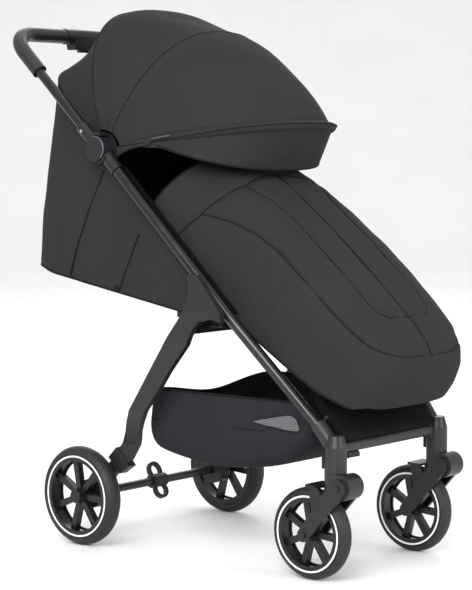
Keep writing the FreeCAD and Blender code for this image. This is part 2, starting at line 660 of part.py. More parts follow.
tray_inner = tray(3.0, 185.0)
basket = tray(0.0, 182.0).cut(tray_inner)
under_calf = side_plate([(-90, 470), (-250, 333), (-330, 255), (-330, 600), (-90, 600)], -400, 400)
basket = basket.cut(under_calf)
basket = basket.cut(main_tube).cut(other_side(main_tube))
save("basket", basket)
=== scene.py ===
import bpy
import json
import math
import numpy as np
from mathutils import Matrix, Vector, noise


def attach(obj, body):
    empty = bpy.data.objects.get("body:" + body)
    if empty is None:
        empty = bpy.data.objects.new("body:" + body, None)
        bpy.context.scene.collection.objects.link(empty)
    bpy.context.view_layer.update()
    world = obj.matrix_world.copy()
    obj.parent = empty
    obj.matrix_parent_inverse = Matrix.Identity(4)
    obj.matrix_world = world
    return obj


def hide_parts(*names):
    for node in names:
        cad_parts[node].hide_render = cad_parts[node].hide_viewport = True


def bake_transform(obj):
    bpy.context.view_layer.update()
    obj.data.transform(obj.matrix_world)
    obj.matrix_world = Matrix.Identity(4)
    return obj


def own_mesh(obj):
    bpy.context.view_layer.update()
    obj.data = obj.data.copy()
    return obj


# Looks of the baby stroller, in metres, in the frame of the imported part. The sizes below repeat the
# driving dimensions of the part; the side profile is laid out from a point SHIFT ahead of the origin.
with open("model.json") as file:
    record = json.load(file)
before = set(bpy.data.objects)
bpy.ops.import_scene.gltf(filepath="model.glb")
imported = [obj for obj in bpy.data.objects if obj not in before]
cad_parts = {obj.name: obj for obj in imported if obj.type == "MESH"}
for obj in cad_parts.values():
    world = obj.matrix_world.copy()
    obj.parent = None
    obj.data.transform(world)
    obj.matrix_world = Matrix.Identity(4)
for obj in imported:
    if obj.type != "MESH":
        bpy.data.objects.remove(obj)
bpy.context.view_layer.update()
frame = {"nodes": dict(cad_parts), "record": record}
NODES = frame["nodes"]

SHIFT = -0.02721
HUB = (0.214 + SHIFT, 0.806)
START = 0.031
HOOD_W = 0.205
HOOD_N = 2.4
REAR_BOW = (0.267, 72.0)
MID_BOW = (0.241, 120.3)
FRONT_BOW = (0.333, 173.4)
VISOR_FOOT = (0.085 + SHIFT, 0.815)
VISOR = (0.178, 196.0)
RIM_ANGLE = 38.0
MUFF_BASE = (0.0 + SHIFT, 0.600)
MUFF_ANGLE = math.radians(39.5)
TUBE_TOP = (0.184 + SHIFT, 0.780)
TUBE_KNEE = (-0.140 + SHIFT, 0.478)


# ---------------------------------------------------------------- materials
def new_material(name, colour, rough):
    """A principled material and the parts of it that the recipes below add to."""
    mat = bpy.data.materials.new(name)
    mat.use_nodes = True
    tree = mat.node_tree
    shader = tree.nodes["Principled BSDF"]
    shader.inputs["Base Color"].default_value = (*colour, 1)
    shader.inputs["Roughness"].default_value = rough
    coords = tree.nodes.new("ShaderNodeTexCoord")
    return mat, tree, shader, coords.outputs["Object"]


def noise_node(tree, coords, scale, detail=3.0, rough=0.55):
    node = tree.nodes.new("ShaderNodeTexNoise")
    node.inputs["Scale"].default_value = scale
    node.inputs["Detail"].default_value = detail
    node.inputs["Roughness"].default_value = rough
    tree.links.new(coords, node.inputs["Vector"])
    return node.outputs["Fac"]


def mapped(tree, value, low, high, source=(0.3, 0.7)):
    node = tree.nodes.new("ShaderNodeMapRange")
    node.inputs["From Min"].default_value = source[0]
    node.inputs["From Max"].default_value = source[1]
    node.inputs["To Min"].default_value = low
    node.inputs["To Max"].default_value = high
    tree.links.new(value, node.inputs["Value"])
    return node.outputs["Result"]


def math_node(tree, operation, a, b):
    node = tree.nodes.new("ShaderNodeMath")
    node.operation = operation
    for socket, value in zip(node.inputs, (a, b)):
        if isinstance(value, (int, float)):
            socket.default_value = value
        else:
            tree.links.new(value, socket)
    return node.outputs[0]


def shade(tree, shader, colour, factor):
    """Base colour varied in brightness by a factor that stays near one."""
    node = tree.nodes.new("ShaderNodeVectorMath")
    node.operation = "SCALE"
    node.inputs[0].default_value = colour
    tree.links.new(factor, node.inputs["Scale"])
    tree.links.new(node.outputs[0], shader.inputs["Base Color"])


def bump(tree, shader, height, distance, strength=1.0):
    node = tree.nodes.new("ShaderNodeBump")
    node.inputs["Distance"].default_value = distance
    node.inputs["Strength"].default_value = strength
    tree.links.new(height, node.inputs["Height"])
    tree.links.new(node.outputs[0], shader.inputs["Normal"])


def wave(tree, coords, direction, scale, distortion=0.0):
    node = tree.nodes.new("ShaderNodeTexWave")
    node.bands_direction = direction
    node.inputs["Scale"].default_value = scale
    node.inputs["Distortion"].default_value = distortion
    node.inputs["Detail"].default_value = 2.0
    tree.links.new(coords, node.inputs["Vector"])
    return node.outputs["Fac"]


def stretched(tree, coords, scale, detail=1.0):
    """Noise drawn out along one axis, for threads, without a regular beat."""
    node = tree.nodes.new("ShaderNodeMapping")
    node.inputs["Scale"].default_value = scale
    tree.links.new(coords, node.inputs["Vector"])
    return noise_node(tree, node.outputs["Vector"], 1.0, detail)


def cloth(name, colour, threads=900.0, sheen=0.012, rough=0.92, depth=0.0002, heather=0.14):
    """Plain woven cloth: two crossing sets of threads, a fine mottle and a slow uneven fade."""
    mat, tree, shader, coords = new_material(name, colour, rough)
    shader.inputs["Sheen Weight"].default_value = sheen
    shader.inputs["Sheen Roughness"].default_value = 0.45
    shader.inputs["Specular IOR Level"].default_value = 0.07
    warp = stretched(tree, coords, (threads, threads, threads * 0.12))
    weft = stretched(tree, coords, (threads, threads * 0.12, threads))
    weave = math_node(tree, "MAXIMUM", warp, weft)
    mottle = mapped(tree, noise_node(tree, coords, 420.0, 2.0), 1 - heather, 1 + heather)
    fade = mapped(tree, noise_node(tree, coords, 7.0, 3.0), 0.95, 1.05)
    thread_shade = mapped(tree, weave, 0.86, 1.10, (0.4, 0.75))
    factor = math_node(tree, "MULTIPLY", math_node(tree, "MULTIPLY", mottle, fade), thread_shade)
    shade(tree, shader, colour, factor)
    crumple = math_node(tree, "MULTIPLY", noise_node(tree, coords, 40.0, 3.0), 3.0)
    bump(tree, shader, math_node(tree, "ADD", weave, crumple), depth, 0.7)
    return mat


def plastic(name, colour, rough, grain=900.0, depth=0.00012, coat=0.0, wear=0.10):
    """Moulded plastic with a fine spark-eroded grain and faint handling marks."""
    mat, tree, shader, coords = new_material(name, colour, rough)
    shader.inputs["Coat Weight"].default_value = coat
    shader.inputs["Specular IOR Level"].default_value = 0.34
    smudge = noise_node(tree, coords, 14.0, 4.0)
    fine = noise_node(tree, coords, grain, 2.0)
    shade(tree, shader, colour, mapped(tree, smudge, 1 - wear, 1 + wear))
    tree.links.new(mapped(tree, smudge, rough - 0.07, rough + 0.09), shader.inputs["Roughness"])
    bump(tree, shader, fine, depth, 0.7)
    return mat


def metal(name, colour, rough, metallic, scratch=0.00006):
    """Painted or bare metal with a slight orange-peel and worn roughness."""
    mat, tree, shader, coords = new_material(name, colour, rough)
    shader.inputs["Metallic"].default_value = metallic
    peel = noise_node(tree, coords, 260.0, 2.0)
    wear = noise_node(tree, coords, 22.0, 5.0)
    shade(tree, shader, colour, mapped(tree, wear, 0.88, 1.12))
    tree.links.new(mapped(tree, wear, rough - 0.06, rough + 0.10), shader.inputs["Roughness"])
    bump(tree, shader, peel, scratch, 0.6)
    return mat


def rubber(name, colour):
    """Tyre rubber: dull, dusty and finely pitted."""
    mat, tree, shader, coords = new_material(name, colour, 0.62)
    dust = noise_node(tree, coords, 18.0, 5.0)
    pits = noise_node(tree, coords, 700.0, 3.0)
    shade(tree, shader, colour, mapped(tree, dust, 0.82, 1.25))
    tree.links.new(mapped(tree, dust, 0.52, 0.72), shader.inputs["Roughness"])
    bump(tree, shader, pits, 0.0002, 0.8)
    return mat


def leatherette(name, colour):
    """Grained synthetic leather for the handle's sleeve."""
    mat, tree, shader, coords = new_material(name, colour, 0.42)
    cell = tree.nodes.new("ShaderNodeTexVoronoi")
    cell.inputs["Scale"].default_value = 480.0
    tree.links.new(coords, cell.inputs["Vector"])
    soft = noise_node(tree, coords, 30.0, 3.0)
    shade(tree, shader, colour, mapped(tree, soft, 0.85, 1.15))
    tree.links.new(mapped(tree, cell.outputs["Distance"], 0.52, 0.34, (0.0, 0.6)), shader.inputs["Roughness"])
    bump(tree, shader, cell.outputs["Distance"], 0.0003, 0.8)
    return mat


def webbing(name, colour):
    """Woven strap: ribs across a dense dull weave."""
    mat, tree, shader, coords = new_material(name, colour, 0.8)
    shader.inputs["Sheen Weight"].default_value = 0.2
    ribs = wave(tree, coords, "Y", 180.0, 0.3)
    cross = wave(tree, coords, "X", 240.0, 0.3)
    weave = math_node(tree, "ADD", ribs, math_node(tree, "MULTIPLY", cross, 0.5))
    shade(tree, shader, colour, mapped(tree, weave, 0.8, 1.2, (0.0, 1.5)))
    bump(tree, shader, weave, 0.0004, 0.9)
    return mat


def netting(name, colour):
    """Open mesh cloth: a fine dark net with holes between the threads."""
    mat, tree, shader, coords = new_material(name, colour, 0.8)
    a = wave(tree, coords, "Y", 75.0)
    b = wave(tree, coords, "Z", 75.0)
    net = math_node(tree, "MAXIMUM", a, b)
    hole = mapped(tree, net, 0.12, 1.0, (0.45, 0.62))
    tree.links.new(hole, shader.inputs["Alpha"])
    shade(tree, shader, colour, mapped(tree, net, 0.9, 1.1, (0.4, 1.0)))
    bump(tree, shader, net, 0.0004, 0.8)
    return mat


MATERIALS = {
    "tube_paint": metal("tube_paint", (0.0055, 0.0055, 0.0065), 0.2, 0.1),
    "leg_plastic": plastic("leg_plastic", (0.012, 0.012, 0.013), 0.42),
    "axle_paint": metal("axle_paint", (0.007, 0.007, 0.0085), 0.26, 0.1),
    "bracket_plastic": plastic("bracket_plastic", (0.016, 0.016, 0.0175), 0.34),
    "fork_plastic": plastic("fork_plastic", (0.011, 0.011, 0.012), 0.4),
    "hub_plastic": plastic("hub_plastic", (0.011, 0.011, 0.0135), 0.32),
    "black_plastic": plastic("black_plastic", (0.0055, 0.0055, 0.0062), 0.4),
    "rim_plastic": plastic("rim_plastic", (0.0075, 0.0075, 0.0082), 0.34),
    "tyre_rubber": rubber("tyre_rubber", (0.0062, 0.0062, 0.0068)),
    "reflector": plastic("reflector", (0.80, 0.80, 0.80), 0.3, 500.0, 0.00015, 0.3, 0.03),
    "grip_leatherette": leatherette("grip_leatherette", (0.0075, 0.0073, 0.008)),
    "hood_cloth": cloth("hood_cloth", (0.0235, 0.0235, 0.0238)),
    "muff_cloth": cloth("muff_cloth", (0.0235, 0.0235, 0.0238)),
    "seat_cloth": cloth("seat_cloth", (0.005, 0.005, 0.0055)),
    "basket_cloth": cloth("basket_cloth", (0.020, 0.0205, 0.024)),
    "webbing": webbing("webbing", (0.012, 0.012, 0.012)),
    "rivet_steel": metal("rivet_steel", (0.62, 0.62, 0.63), 0.28, 1.0),
}
LINING = cloth("lining_cloth", (0.003, 0.003, 0.0035), sheen=0.0)
PIPING = cloth("piping_cloth", (0.009, 0.009, 0.010), rough=0.75)
NET = netting("net_cloth", (0.11, 0.11, 0.115))
TAG = metal("tag_metal", (0.16, 0.16, 0.165), 0.35, 0.8)


# ---------------------------------------------------------------- building helpers
def place(obj, body, material):
    obj.data.materials.clear()
    obj.data.materials.append(material)
    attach(obj, body)
    return obj


def mesh_object(name, points, faces):
    mesh = bpy.data.meshes.new(name)
    mesh.from_pydata([tuple(p) for p in points], [], faces)
    mesh.validate()
    obj = bpy.data.objects.new(name, mesh)
    bpy.context.scene.collection.objects.link(obj)
    mesh.polygons.foreach_set("use_smooth", [True] * len(mesh.polygons))
    return obj


def grid(name, rows, thick=0.0, subdivide=1, close=False):
    """A sheet from rows of points. close joins the last point of each row to the first."""
    rows = np.array(rows, float)
    n, m = rows.shape[:2]
    faces = []
    for i in range(n - 1):
        for j in range(m if close else m - 1):
            k = (j + 1) % m
            faces.append((i * m + j, i * m + k, (i + 1) * m + k, (i + 1) * m + j))
    obj = mesh_object(name, rows.reshape(-1, 3), faces)
    if thick:
        skin = obj.modifiers.new("thickness", "SOLIDIFY")
        skin.thickness = abs(thick)
        skin.offset = -1.0 if thick > 0 else 1.0
        apply_modifiers(obj)
    if subdivide:
        obj.modifiers.new("smooth", "SUBSURF").levels = subdivide
        obj.modifiers["smooth"].render_levels = subdivide
        apply_modifiers(obj)
    return obj


def apply_modifiers(obj):
    graph = bpy.context.evaluated_depsgraph_get()
    done = bpy.data.meshes.new_from_object(obj.evaluated_get(graph))
    obj.modifiers.clear()
    obj.data = done
    done.polygons.foreach_set("use_smooth", [True] * len(done.polygons))


def tube(name, points, radius, closed=False):
    """A round cord of cloth or thread along points, as a mesh."""
    curve = bpy.data.curves.new(name, "CURVE")
    curve.dimensions = "3D"
    curve.bevel_depth = radius
    curve.bevel_resolution = 2
    curve.use_fill_caps = True
    line = curve.splines.new("NURBS")
    line.points.add(len(points) - 1)
    for point, place_at in zip(line.points, points):
        point.co = (*place_at, 1)
    line.order_u = 3
    line.use_endpoint_u = not closed
    line.use_cyclic_u = closed
    draft = bpy.data.objects.new(name + "_draft", curve)
    bpy.context.scene.collection.objects.link(draft)
    graph = bpy.context.evaluated_depsgraph_get()
    mesh = bpy.data.meshes.new_from_object(draft.evaluated_get(graph))
    bpy.data.objects.remove(draft)
    obj = bpy.data.objects.new(name, mesh)
    bpy.context.scene.collection.objects.link(obj)
    mesh.polygons.foreach_set("use_smooth", [True] * len(mesh.polygons))
    return obj


def joined(name, objects):
    """One object out of several meshes."""
    keep = objects[0]
    with bpy.context.temp_override(active_object=keep, selected_editable_objects=objects, object=keep):
        bpy.ops.object.join()
    keep.name = name
    return keep


def ripple(point, scale, seed=0.0):
    """Smooth noise from -1 to 1 at a point, with features about 1/scale metres across."""
    p = Vector(point) * scale + Vector((seed, seed * 1.7, -seed))
    return noise.noise(p) * 1.2 + 0.4 * noise.noise(p * 2.3)


def lerp(a, b, t):
    return a + (b - a) * t


def smooth_step(x):
    x = min(max(x, 0.0), 1.0)
    return x * x * (3 - 2 * x)


# ---------------------------------------------------------------- hood
def arch(u, half_w, reach, n, foot, degrees, start):
    """Point of a rounded arch, u from 0 at the right foot to 1 at the left foot."""
    a = math.pi * u
    c = math.cos(a)
    s = math.sin(a)
    x = -math.copysign(abs(c) ** (2 / n), c) * half_w
    out = start + abs(s) ** (2 / n) * reach
    d = math.radians(degrees)
    return np.array((x, foot[0] + out * math.cos(d), foot[1] + out * math.sin(d)))


def hood_point(u, angle, lift=0.0, bulge=1.0):
    """Point on the hood at an angle about the hub, from the rear bow past the middle to the front."""
    if angle <= MID_BOW[1]:
        (r0, a0), (r1, a1) = REAR_BOW, MID_BOW
    else:
        (r0, a0), (r1, a1) = MID_BOW, FRONT_BOW
    t = (angle - a0) / (a1 - a0)
    round_point = arch(u, HOOD_W + lift, lerp(r0, r1, t) + lift, HOOD_N, HUB, angle, START)
    flat_point = lerp(arch(u, HOOD_W + lift, r0 + lift, HOOD_N, HUB, a0, START),
                      arch(u, HOOD_W + lift, r1 + lift, HOOD_N, HUB, a1, START), t)
    return lerp(flat_point, round_point, bulge)


def hood_panel(name, a0, a1, bulge, count=18):
    """Cloth between two bows. bulge is how round it stands at its first and its last bow."""
    rows = []
    for j in range(count + 1):
        t = j / count
        angle = lerp(a0, a1, t)
        row = []
        for i in range(73):
            u = 0.004 + 0.992 * i / 72
            point = hood_point(u, angle, 0.0, lerp(bulge[0], bulge[1], t))
            edge = math.sin(math.pi * t)
            crease = ripple((u * 3.2, t * 1.1, a0), 2.6, 3.0) * 0.0032 * edge
            out = point - np.array((0.0, HUB[0], HUB[1] - 0.05))
            row.append(point + out / np.linalg.norm(out) * crease)
        rows.append(row)
    return grid(name, rows, 0.0016, 1)


def bend_by_angle(obj):
    """Bakes the cloth's placement into its mesh."""
    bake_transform(obj)


def paint(obj, material):
    obj.data.materials.clear()
    obj.data.materials.append(material)


def hood():
    cloth_mat = MATERIALS["hood_cloth"]
    rear = hood_panel("hood_rear_cloth", REAR_BOW[1], MID_BOW[1], (0.95, -0.05))
    front = hood_panel("hood_front_cloth", MID_BOW[1], FRONT_BOW[1], (0.6, 0.6), 24)
    for obj in (rear, front):
        paint(obj, cloth_mat)
    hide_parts("canopy_rear_panel")
    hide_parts("canopy_front_panel")
    bend_by_angle(rear)
    bend_by_angle(front)
    for name, angle, body, r in (("rear", REAR_BOW[1], "chassis", 0.0013),
                                 ("mid", MID_BOW[1], "canopy_mid", 0.0013),
                                 ("front", FRONT_BOW[1], "canopy_front", 0.0016)):
        path = [hood_point(0.004 + 0.992 * i / 60, angle, 0.0008) for i in range(61)]
        seam = tube("hood_seam_" + name, path, r)
        place(seam, body, PIPING)


def brim_edges(u):
    """Angles of the brim's upper and lower seams, and how full it stands out, at u."""
    crown = smooth_step(math.sin(math.pi * u) * 1.15)
    return lerp(168.0, 170.6, crown), lerp(FRONT_BOW[1] + 0.4, 172.1, crown), crown


def brim():
    """Rolled double band over the front bow, tapered towards the hubs, with side flaps and a tag."""
    rows = []
    across = [0.03 + 0.94 * i / 80 for i in range(81)]
    for j in range(9):
        t = j / 8
        row = []
        for u in across:
            upper, lower, crown = brim_edges(u)
            lift = 0.0012 + crown * 0.012 * math.sin(math.pi * 0.5 * t) ** 1.3
            row.append(hood_point(u, lerp(upper, lower, t), lift, 0.62))
        rows.append(row)
    under = []
    for j in range(1, 6):
        row = []
        for u, tip in zip(across, rows[8]):
            point = lerp(tip, hood_point(u, FRONT_BOW[1], -0.0008), j / 5)
            crown = brim_edges(u)[2]
            point[2] -= 0.006 * crown * math.sin(math.pi * j / 5)
            row.append(point)
        under.append(row)
    band = grid("hood_brim", rows + under, 0.0012, 1)
    place(band, "canopy_front", MATERIALS["hood_cloth"])
    for name, line, r in (("brim_seam_upper", rows[0], 0.0013), ("brim_seam_lower", rows[8], 0.0015)):
        place(tube(name, line, r), "canopy_front", PIPING)
    for side, label in ((-1, "right"), (1, "left")):
        flap_top = [(0.183, 0.8115), (0.160, 0.8145), (0.125, 0.8185), (0.088, 0.8225)]
        flap_low = [(0.187, 0.786), (0.160, 0.802), (0.125, 0.8095), (0.090, 0.8145)]
        rows = []
        for j in range(5):
            x = side * (0.2056 + 0.0008 * math.sin(j))
            rows.append([(x, lerp(a[0], b[0], j / 4) + SHIFT, lerp(a[1], b[1], j / 4))
                         for a, b in zip(flap_top, flap_low)])
        flap = grid("hood_flap_" + label, rows, side * 0.0014, 2)
        place(flap, "canopy_front", MATERIALS["hood_cloth"])
        edge = tube("hood_flap_piping_" + label, rows[-1], 0.0013)
        place(edge, "canopy_front", PIPING)
    rows = []
    for i in range(7):
        u = lerp(0.075, 0.118, i / 6)
        upper, lower = brim_edges(u)[:2]
        rows.append([hood_point(u, lerp(upper, lower, t), 0.0125 * t + 0.0035, 0.62)
                     for t in (0.3, 0.45, 0.6)])
    tag = grid("brim_tag", rows, 0.0008, 1)
    place(tag, "canopy_front", TAG)


def visor():
    rows = []
    for j in range(13):
        t = j / 12
        row = []
        for i in range(61):
            u = 0.004 + 0.992 * i / 60
            top = hood_point(u, FRONT_BOW[1], 0.0)
            low = arch(u, 0.200, VISOR[0], 2.5, VISOR_FOOT, VISOR[1], 0.004)
            point = lerp(top, low, t)
            point = point + np.array((0, -1, 0.35)) * 0.002 * math.sin(math.pi * t) * math.sin(math.pi * u)
            point[2] += ripple((u * 5, t, 4.0), 2.0, 6.0) * 0.0016 * math.sin(math.pi * t)
            row.append(point)
        rows.append(row)
    sheet = grid("visor_cloth", rows, 0.0016, 1)
    paint(sheet, MATERIALS["hood_cloth"])
    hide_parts("visor_panel")
    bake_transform(sheet)
    rim = tube("visor_piping", rows[-1], 0.0024)
    place(rim, "visor", PIPING)


# ---------------------------------------------------------------- cloth bucket behind the seat
TUB = [(0.480, 0.330, 0.478, 2.8), (0.545, 0.312, 0.494, 2.8), (0.660, 0.262, 0.487, 3.0),
       (0.760, 0.222, 0.474, 3.0), (0.880, 0.240, 0.452, 2.8), (1.020, 0.282, 0.428, 2.6)]
TUB_W = 0.197


def tub_point(s, z):
    """Point of the wall at height z: s 0 to 1 the right side, 1 to 2 the head end, 2 to 3 the left."""
    heights = [row[0] for row in TUB]
    turn = float(np.interp(z, heights, [row[1] for row in TUB])) + SHIFT
    rear = float(np.interp(z, heights, [row[2] for row in TUB])) + SHIFT
    n = float(np.interp(z, heights, [row[3] for row in TUB]))
    front = -0.060 + SHIFT
    if s <= 1 or s >= 2:
        t = s if s <= 1 else 3 - s
        return np.array((-TUB_W if s <= 1 else TUB_W, lerp(front, turn, t), z))
    a = math.pi * (s - 1)
    c = math.cos(a)
    x = -math.copysign(abs(c) ** (2 / n), c) * TUB_W
    return np.array((x, turn + (rear - turn) * abs(math.sin(a)) ** (2 / n), z))


def floor_z(y):
    return 0.490 + (y - SHIFT - 0.009) * 0.167


def top_z(y):
    """Upper limit of the wall: 14 mm below the tube ahead of the hub, the handle's plane behind it."""
    slope = (TUBE_TOP[1] - TUBE_KNEE[1]) / (TUBE_TOP[0] - TUBE_KNEE[0])
    if y < HUB[0]:
        return TUBE_TOP[1] + (y - TUBE_TOP[0]) * slope - 0.014 / math.cos(math.atan(slope))
    return HUB[1] + (y - HUB[0]) * math.tan(math.radians(RIM_ANGLE))


def wall_ends(s):
    """Heights at which the wall at s meets the floor and its upper limit."""
    ends = []
    for limit in (floor_z, top_z):
        z = 0.7
        for _ in range(60):
            z = lerp(z, limit(tub_point(s, z)[1]), 0.5)
        ends.append(z)
    return ends


def bucket():
    around = [3 * i / 96 for i in range(97)]
    columns = []
    for s in around:
        low, high = wall_ends(s)
        column = []
        for j in range(25):
            t = j / 24
            z = lerp(low, max(high, low + 0.004), t)
            point = tub_point(s, z)
            centre = np.array((0.0, 0.20 + SHIFT, z))
            out = point - centre
            out /= np.linalg.norm(out)
            head = smooth_step((s - 0.7) / 0.5) * smooth_step((2.3 - s) / 0.5)
            slack = 0.003 * math.sin(math.pi * t) * head
            crease = ripple((point[0] * 4, point[1] * 4, point[2] * 9), 2.2, 9.0) * 0.0016
            crease *= math.sin(math.pi * t)
            drape = -0.002 * math.cos(s * 38) * (1 - t) ** 2 * head
            column.append(point + out * (slack + crease + drape))
        columns.append(column)
    rows = [[columns[i][j] for i in range(len(around))] for j in range(25)]
    wall = grid("bucket_wall", rows, 0.0016, 1)
    # the sloping floor hangs between the lower edges
    edge = rows[0]
    half = len(edge) // 2
    floor = []
    for i in range(half + 1):
        right = edge[i]
        left = edge[len(edge) - 1 - i]
        row = []
        for j in range(25):
            t = j / 24
            point = lerp(right, left, t)
            point[2] -= 0.004 * math.sin(math.pi * t) * (1 + 0.5 * ripple(tuple(point * 6), 1.5))
            row.append(point)
        floor.append(row)
    base = grid("bucket_floor", floor, 0.0016, 1)
    for obj in (wall, base):
        place(obj, "chassis", MATERIALS["hood_cloth"])
    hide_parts("back_cloth")
    rim_start = next(i for i, p in enumerate(rows[-1]) if p[1] > HUB[0] + 0.012)
    rim = rows[-1][rim_start:len(around) - rim_start]
    back = hood_back(rim)
    bottom = tube("bucket_piping", [p + np.array((0, 0, -0.001)) for p in edge], 0.0022)
    band = tube("hood_back_piping", rim, 0.0022)
    trims = [bottom, band]
    for side, label in ((-1, "right"), (1, "left")):
        zip_line = [(0.223, 0.762), (0.243, 0.724), (0.266, 0.682), (0.295, 0.620), (0.312, 0.575),
                    (0.322, 0.547)]
        seam_line = [(0.127, 0.638), (0.148, 0.596), (0.168, 0.554), (0.182, 0.522)]
        for kind, line, r in (("zip", zip_line, 0.0021), ("seam", seam_line, 0.0011)):
            points = [(side * (TUB_W + 0.0030), y + SHIFT, z) for y, z in line]
            trims.append(tube("bucket_%s_%s" % (kind, label), points, r))
        tab = [[(side * (TUB_W + 0.0035), y + SHIFT, z) for y in (0.183, 0.190, 0.197)]
               for z in (0.5335, 0.526, 0.519)]
        trims.append(grid("bucket_tab_" + label, tab, 0.0012, 1))
    for obj in trims:
        place(obj, "chassis", PIPING)
    for obj in [wall, base, back] + trims:
        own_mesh(obj)


def hood_back(rim):
    """The strip of hood from the rear bow down to the top of the bucket."""
    rim = np.array(rim)
    steps = np.concatenate([[0], np.cumsum(np.linalg.norm(np.diff(rim, axis=0), axis=1))])
    rows = []
    for j in range(13):
        t = j / 12
        row = []
        for i in range(73):
            u = i / 72
            low = np.array([np.interp(u * steps[-1], steps, rim[:, k]) for k in range(3)])
            top = hood_point(0.004 + 0.992 * u, REAR_BOW[1])
            point = lerp(low, top, t)
            out = point - np.array((0.0, HUB[0], HUB[1]))
            out /= np.linalg.norm(out)
            row.append(point - out * (0.015 * math.sin(math.pi * t) * math.sin(math.pi * u)))
        rows.append(row)
    obj = grid("hood_back_cloth", rows, 0.0016, 1)
    place(obj, "chassis", MATERIALS["hood_cloth"])
    return obj


# ---------------------------------------------------------------- footmuff
# station down the muff, half width, lower edge, crown height (mm) and squareness of its section
MUFF = [(-134, 192, 8, 150, 2.2), (-90, 192, -4, 157, 2.6), (-40, 191, -14, 162, 3.1),
        (20, 190, -22, 166, 3.7), (90, 188, -27, 169, 4.2), (170, 185, -22, 170, 4.6),
        (250, 182, -13, 168, 4.7), (330, 178, -4, 164, 4.6), (390, 172, 4, 160, 4.3),
        (430, 160, 14, 152, 3.8), (455, 147, 20, 140, 3.2), (470, 126, 36, 118, 2.8)]


def muff_profile(s):
    stations = [row[0] for row in MUFF]
    return [float(np.interp(s, stations, [row[k] for row in MUFF])) for k in (1, 2, 3, 4)]


def muff_point(s, u, inset=0.0, lift=0.0):
    """s in mm down the muff from its base point; u 0 to 1 over the top from right to left."""
    half_w, low, high, n = muff_profile(s)
    a = math.pi * u
    c = math.cos(a)
    q = abs(math.sin(a))
    x = -math.copysign(abs(c) ** (2 / n), c) * (half_w - inset + lift)
    h = low + (high - inset + lift - low) * q ** (2 / n)
    y = -s * math.cos(MUFF_ANGLE) - h * math.sin(MUFF_ANGLE)
    z = -s * math.sin(MUFF_ANGLE) + h * math.cos(MUFF_ANGLE)
    return np.array((x / 1000, MUFF_BASE[0] + y / 1000, MUFF_BASE[1] + z / 1000))


# sewn lines on the right half as (s, u): neck band, outer and inner loops, and the centre zip
BAND_LINE = [(-50, 0.0), (-34, 0.10), (-28, 0.25), (-30, 0.37), (-50, 0.5)]
OUTER_LINE = [(-33, 0.115), (24, 0.17), (82, 0.215), (148, 0.235), (218, 0.228), (306, 0.222), (360, 0.228),
              (405, 0.25), (432, 0.31), (448, 0.40), (452, 0.5)]
INNER_LINE = [(-30, 0.36), (34, 0.42), (88, 0.438), (188, 0.445), (250, 0.445), (316, 0.44), (350, 0.447),
              (364, 0.47), (367, 0.5)]
ZIP_LINE = [(-50, 0.5), (100, 0.5), (250, 0.5), (367, 0.5), (450, 0.5)]


def along(line, mirrored=False, count=70):
    """Evenly spread (s, u) stations along one of the lines above."""
    line = np.array(line, float)
    pace = np.concatenate([[0], np.cumsum(np.hypot(np.diff(line[:, 0]) / 400, np.diff(line[:, 1])))])
    at = np.linspace(0, pace[-1], count)
    stations = np.interp(at, pace, line[:, 0])
    turns = np.interp(at, pace, line[:, 1])
    return list(zip(stations, 1 - turns if mirrored else turns))


SEWN = [(BAND_LINE, False), (BAND_LINE, True), (OUTER_LINE, False), (OUTER_LINE, True), (INNER_LINE, False),
        (INNER_LINE, True), (ZIP_LINE, False)]


